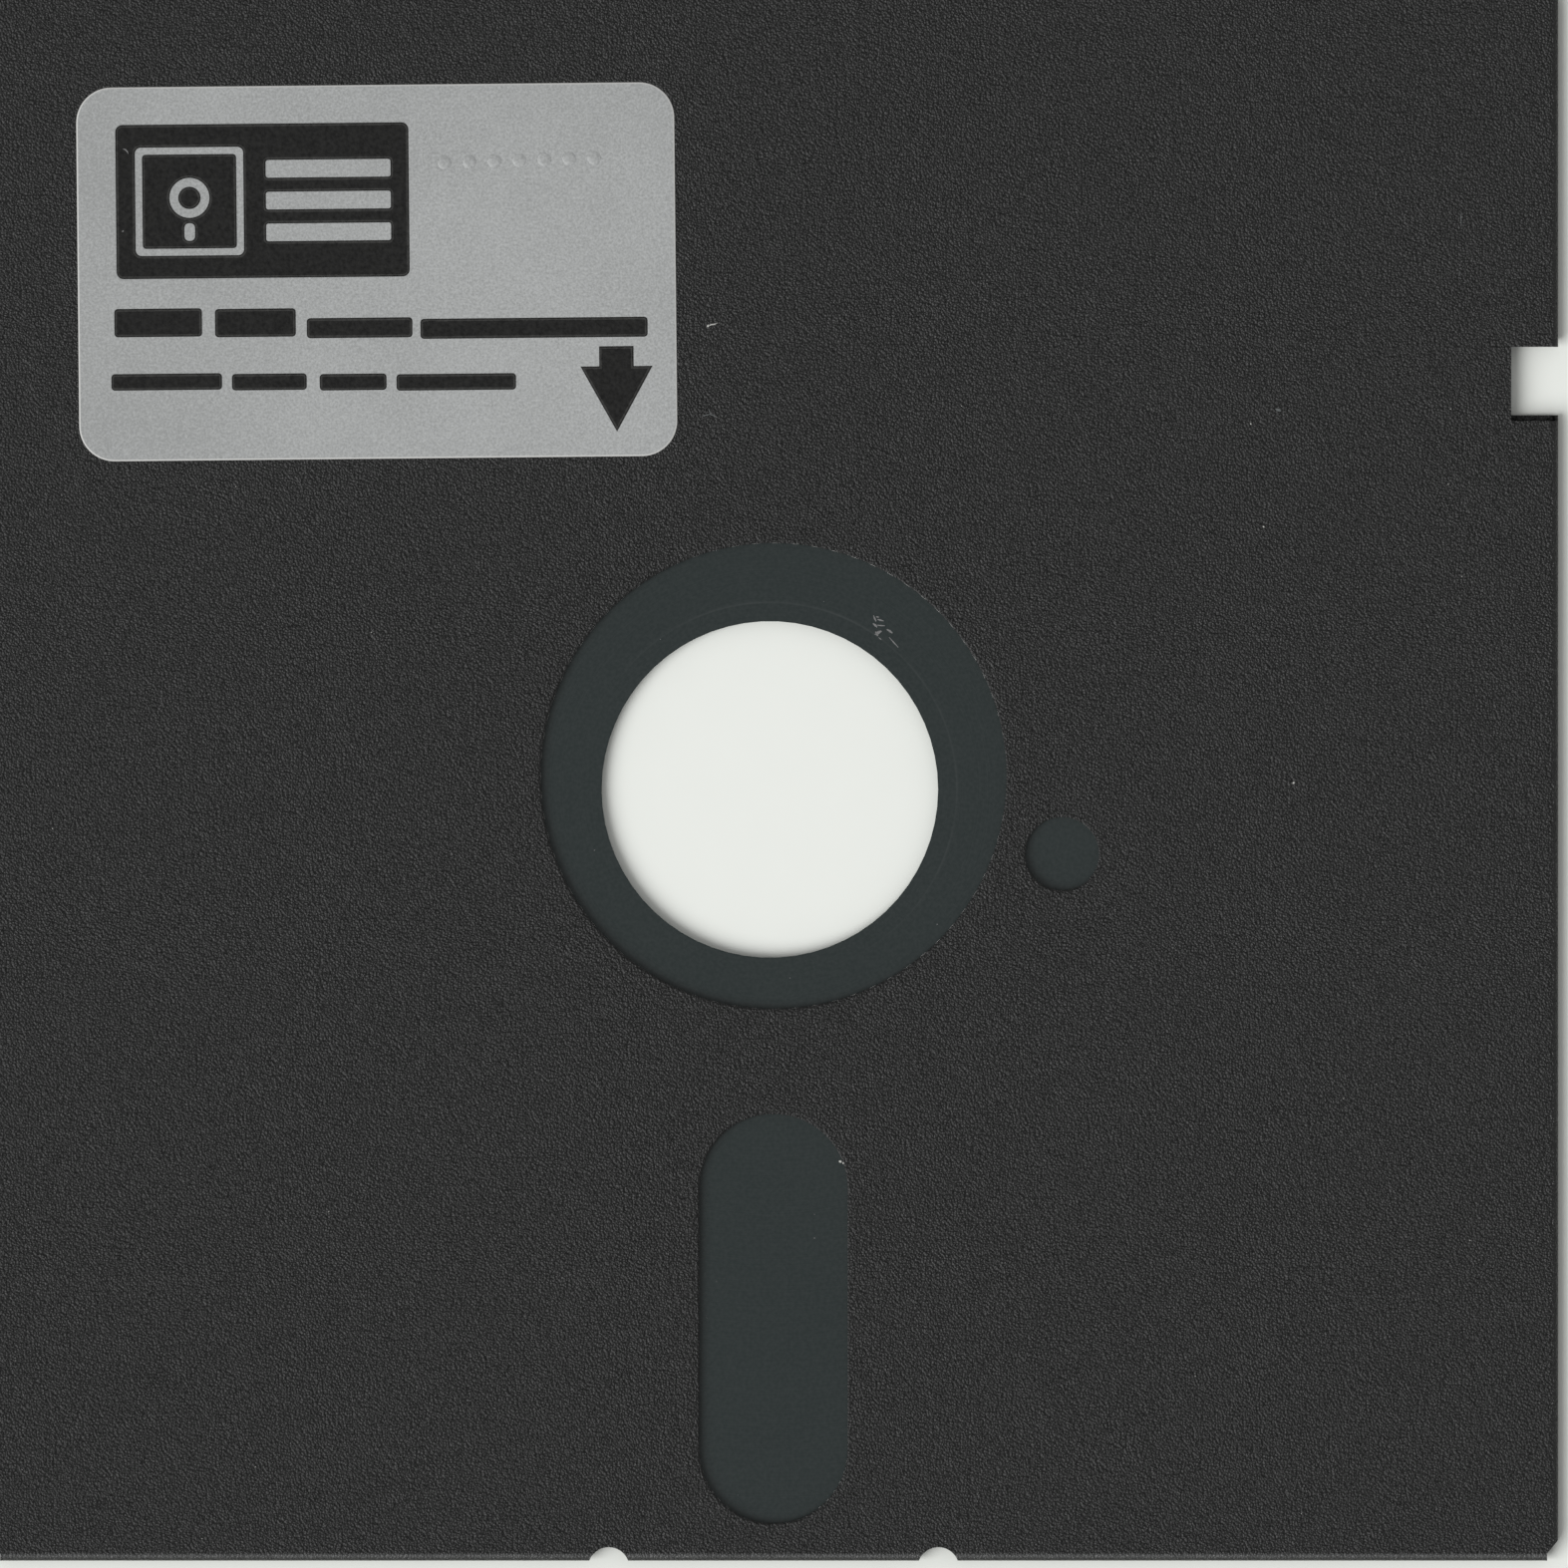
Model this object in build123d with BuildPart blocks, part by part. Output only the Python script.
"""A 5.25-inch high-density floppy disk, lying flat with its label side up.

Sizes are in millimetres. The origin is on the surface that the disk lies on, under the centre
of the jacket's hub window. +Y points away from the head window, and +X points to the edge
that has the write-enable notch.
"""

import os

from build123d import *

# The jacket: one PVC sheet, folded along four edges
jacket_side = 133.3  # over the folds, both ways
sheet = 0.25
fold_radius = 0.55  # outside radius of each bend in a fold
panel_clearance = 0.25  # between the back panel's edges and the folds that hold it

# Three flaps, folded over the back panel. Where the left and right ones meet the top one, their
# ends are mitred, and next to the bottom fold they taper.
flap_width = 11.0  # from the folded edge to the flap's free edge
mitre_gap = 0.5
flap_taper = 4.5  # how far the free edge stops short of the bottom fold

# The corner notches, which let each fold close without creasing the next
corner_along_fold = 0.95  # how far the bottom and top folds stop short of the corner
bottom_corner_along_side = 1.75  # how far the side folds stop short of the two bottom corners
top_corner_along_side = 0.7  # and of the two top corners
corner_step_length = 0.6  # straight part of the notch, across the bottom and top folds

# The heat-sealed spots that hold the flaps down on the back panel
seal_gap = 0.03  # between a flap and the back panel, beside the spots
seal_radius = 1.3
seal_dimple = 0.08  # depth of each spot's mark on the outside of the flap
seal_count = 6  # on each flap
seal_to_corner = 21.65  # from the outermost spots to the neighbouring sides

# The layers inside the jacket
liner = 0.2
liner_margin = 4.0  # from the liner's edge to the inside of the folds
disc = 0.08
disc_clearance = 0.15  # above and below the magnetic disc

# The windows and the write-enable notch, punched through the sheet and its liners before the
# folding, so that those in the back don't quite meet those in the front
punch_drift = 0.5  # how far the back ones lie towards +Y
hub_window_radius = 19.8
head_window_width = 12.6
head_window_to_edge = 3.15  # from the window's lower end to the bottom fold
head_window_to_hub = 8.9  # from its upper end to the hub window
index_window_radius = 3.125
index_window_to_hub = 2.475  # between the index and hub windows
index_window_angle = -15.1  # on the orbit of the disc's index hole
write_notch_depth = 4.0
write_notch_width = 6.3
write_notch_to_edge = 96.8  # from the notch's lower side to the bottom fold

# The two half-round stress-relief notches in the bottom fold, one each side of the head window
relief_radius = 1.75
relief_pitch = 28.0
relief_depth = 1.15

# The magnetic disc, lying off-centre as it was left
disc_play = 1.3  # to the inside of the folds all round, when the disc is centred
hub_hole_radius = 14.2875
index_hole_radius = 1.27
index_hole_angle = 140
disc_x = -0.31
disc_y = -1.14

# The adhesive label on the front
label_width = 50.8
label_height = 31.75
label_thickness = 0.1
label_corner = 3.0
label_to_side = 7.55  # from the label's left edge to the left fold
label_to_top = 7.95  # from its upper edge to the top fold
label_turn = 0.57

# Heights and edges that follow from those sizes
half_side = jacket_side / 2
inner_half = half_side - sheet  # inside face of a fold
back_under = sheet + seal_gap  # outside face of the back panel
back_inside = back_under + sheet
cavity = 2 * (liner + disc_clearance) + disc
front_inside = back_inside + cavity
front_top = front_inside + sheet
fold_middle = front_top / 2
disc_under = back_inside + liner + disc_clearance
disc_radius = inner_half - disc_play
panel_half = inner_half - panel_clearance  # the back panel's edges inside the folds
liner_half = inner_half - liner_margin
fold_start = half_side - 2 * fold_radius  # where the front panel's flat part ends
flap_edge = half_side - flap_width  # a flap's free edge
seal_line = half_side - flap_width / 2
seal_pitch = (jacket_side - 2 * seal_to_corner) / (seal_count - 1)
head_window_length = half_side - head_window_to_edge - head_window_to_hub - hub_window_radius
head_window_y = -half_side + head_window_to_edge + head_window_length / 2
index_orbit_radius = hub_window_radius + index_window_to_hub + index_window_radius
write_notch_y = -half_side + write_notch_to_edge + write_notch_width / 2
label_x = -half_side + label_to_side + label_width / 2
label_y = half_side - label_to_top - label_height / 2


def folded_strip(*corners):
    """The cut face of a fold, in the current sketch, from the sharp corners of its outside."""
    with BuildLine(mode=Mode.PRIVATE) as outline:
        FilletPolyline(*corners, radius=fold_radius)
        offset(amount=sheet, side=Side.RIGHT)
    make_face(outline.edges())


# The hub, head and index windows and the write-enable notch, seen from above
with BuildSketch() as windows:
    Circle(hub_window_radius)
    with Locations((0, head_window_y)):
        SlotOverall(head_window_length, head_window_width, rotation=90)
    with PolarLocations(index_orbit_radius, 1, start_angle=index_window_angle):
        Circle(index_window_radius)
    with Locations((half_side, write_notch_y)):
        Rectangle(2 * write_notch_depth, write_notch_width)

# The notches at the four corners and in the bottom fold, seen from above
with BuildSketch() as edge_notches:
    for end, along_side in ((1, top_corner_along_side), (-1, bottom_corner_along_side)):
        with BuildLine():
            Polyline(
                (half_side, end * half_side),
                (half_side - corner_along_fold, end * half_side),
                (half_side - corner_along_fold, end * (half_side - corner_step_length)),
                (half_side, end * (half_side - along_side)),
                close=True,
            )
        make_face()
    mirror(about=Plane.YZ)
    with Locations((0, -half_side + relief_depth - relief_radius)):
        with GridLocations(relief_pitch, 0, 2, 1):
            Circle(relief_radius)

# The sealed spots, in a row along each flap, seen from above
with BuildSketch() as seals:
    with PolarLocations(seal_line, 3, angular_range=270):
        with GridLocations(0, seal_pitch, 1, seal_count):
            Circle(seal_radius)

# The slanted ends of the flaps, seen from above
with BuildSketch() as flap_ends:
    with Locations((seal_line, seal_line)):
        Rectangle(2 * flap_width, mitre_gap, rotation=45)
    with BuildLine():
        Polyline(
            (half_side, -half_side + bottom_corner_along_side),
            (flap_edge, -half_side + flap_taper),
            (flap_edge, -half_side),
            (half_side, -half_side),
            close=True,
        )
    make_face()
    mirror(about=Plane.YZ)

# The jacket
with BuildPart() as jacket:
    # The flat front panel
    with BuildSketch(Plane.XY.offset(front_inside)):
        Rectangle(2 * fold_start, 2 * fold_start)
    extrude(amount=sheet)
    # The left and right folds, with their flaps
    with BuildSketch(Plane.XZ):
        folded_strip(
            (fold_start, front_top),
            (half_side, front_top),
            (half_side, 0),
            (flap_edge, 0),
        )
        mirror(about=Plane.YZ)
    extrude(amount=half_side, both=True)
    # The top fold with its flap, and the bottom fold with the back panel
    with BuildSketch(Plane.YZ):
        folded_strip(
            (fold_start, front_top),
            (half_side, front_top),
            (half_side, 0),
            (flap_edge, 0),
        )
        folded_strip(
            (panel_half, back_under),
            (-half_side, back_under),
            (-half_side, front_top),
            (-fold_start, front_top),
        )
    extrude(amount=panel_half, both=True)
    # The flaps' ends and their seals
    add(flap_ends.sketch)
    extrude(amount=sheet, mode=Mode.SUBTRACT)
    add(seals.sketch)
    extrude(amount=seal_dimple, mode=Mode.SUBTRACT)
    with BuildSketch(Plane.XY.offset(sheet)):
        add(seals.sketch)
    extrude(amount=seal_gap)
    # The notches and windows
    with BuildSketch():
        add(edge_notches.sketch)
    extrude(amount=front_top, mode=Mode.SUBTRACT)
    with BuildSketch(Plane.XY.offset(fold_middle)):
        add(windows.sketch)
    extrude(amount=front_top - fold_middle, mode=Mode.SUBTRACT)
    with BuildSketch():
        with Locations((0, punch_drift)):
            add(windows.sketch)
    extrude(amount=fold_middle, mode=Mode.SUBTRACT)
jacket.part.label = "jacket"

# The two liners, bonded to the inside of the panels
with BuildPart() as front_liner:
    with BuildSketch(Plane.XY.offset(front_inside - liner)):
        Rectangle(2 * liner_half, 2 * liner_half)
        add(windows.sketch, mode=Mode.SUBTRACT)
    extrude(amount=liner)
front_liner.part.label = "front_liner"

with BuildPart() as back_liner:
    with BuildSketch(Plane.XY.offset(back_inside)):
        Rectangle(2 * liner_half, 2 * liner_half)
        with Locations((0, punch_drift)):
            add(windows.sketch, mode=Mode.SUBTRACT)
    extrude(amount=liner)
back_liner.part.label = "back_liner"

# The magnetic disc, free to turn between the liners
with BuildPart() as magnetic_disc:
    with BuildSketch(Plane.XY.offset(disc_under)):
        with Locations((disc_x, disc_y)):
            Circle(disc_radius)
            Circle(hub_hole_radius, mode=Mode.SUBTRACT)
            with PolarLocations(index_orbit_radius, 1, start_angle=index_hole_angle):
                Circle(index_hole_radius, mode=Mode.SUBTRACT)
    extrude(amount=disc)
magnetic_disc.part.label = "magnetic_disc"

# The label, stuck on a little askew
with BuildPart() as label:
    with BuildSketch(Plane.XY.offset(front_top)):
        with Locations(Location((label_x, label_y), label_turn)):
            RectangleRounded(label_width, label_height, label_corner)
    extrude(amount=label_thickness)
label.part.label = "label"

os.makedirs("parts", exist_ok=True)
export_step(jacket.part, "parts/jacket.step")
export_step(front_liner.part, "parts/front_liner.step")
export_step(back_liner.part, "parts/back_liner.step")
export_step(magnetic_disc.part, "parts/magnetic_disc.step")
export_step(label.part, "parts/label.step")
